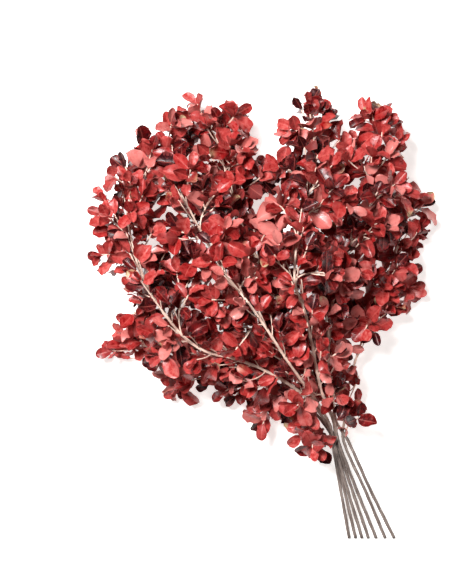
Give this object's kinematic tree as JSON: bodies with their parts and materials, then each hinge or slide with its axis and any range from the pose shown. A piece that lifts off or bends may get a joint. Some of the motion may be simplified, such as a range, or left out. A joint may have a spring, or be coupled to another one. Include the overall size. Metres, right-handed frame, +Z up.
{
  "type": "dried pittosporum bunch",
  "caption": "Loose bunch of cut, dried red pittosporum stems with rosettes of oval leaves, lying flat on a surface.",
  "frame": {"origin": "on the surface the bunch lies on, under the middle of the bunch's box", "axes": "+Z up off the surface, +Y from the cut ends of the stems towards the leafy tops, +X to the right when seen from above"},
  "size_m": [0.5321, 0.6983, 0.2051],
  "materials": {
    "bark": "matte grey-brown bark",
    "leaf": "dried leaf, deep red, satin on top and paler and matte beneath"
  },
  "bodies": {
    "root": {"stem_1": "bark", "stem_2": "bark", "stem_3": "bark", "stem_4": "bark", "stem_5": "bark", "stem_6": "bark", "stem_7": "bark", "spray_1_1": "leaf", "spray_1_2": "leaf", "spray_1_3": "leaf", "spray_1_4": "leaf", "spray_1_5": "leaf", "spray_1_6": "leaf", "spray_1_7": "leaf", "spray_1_8": "leaf", "spray_1_9": "leaf", "spray_1_10": "leaf", "spray_2_1": "leaf", "spray_2_2": "leaf", "spray_2_3": "leaf", "spray_2_4": "leaf", "spray_2_5": "leaf", "spray_2_6": "leaf", "spray_2_7": "leaf", "spray_3_1": "leaf", "spray_3_2": "leaf", "spray_3_3": "leaf", "spray_3_4": "leaf", "spray_3_5": "leaf", "spray_3_6": "leaf", "spray_3_7": "leaf", "spray_3_8": "leaf", "spray_4_1": "leaf", "spray_4_2": "leaf", "spray_4_3": "leaf", "spray_4_4": "leaf", "spray_4_5": "leaf", "spray_4_6": "leaf", "spray_4_7": "leaf", "spray_5_1": "leaf", "spray_5_2": "leaf", "spray_5_3": "leaf", "spray_5_4": "leaf", "spray_5_5": "leaf", "spray_5_6": "leaf", "spray_5_7": "leaf", "spray_5_8": "leaf", "spray_5_9": "leaf", "spray_6_1": "leaf", "spray_6_2": "leaf", "spray_6_3": "leaf", "spray_6_4": "leaf", "spray_6_5": "leaf", "spray_6_6": "leaf", "spray_6_7": "leaf", "spray_7_1": "leaf", "spray_7_2": "leaf", "spray_7_3": "leaf", "spray_7_4": "leaf", "spray_7_5": "leaf"}
  },
  "joints": []
}
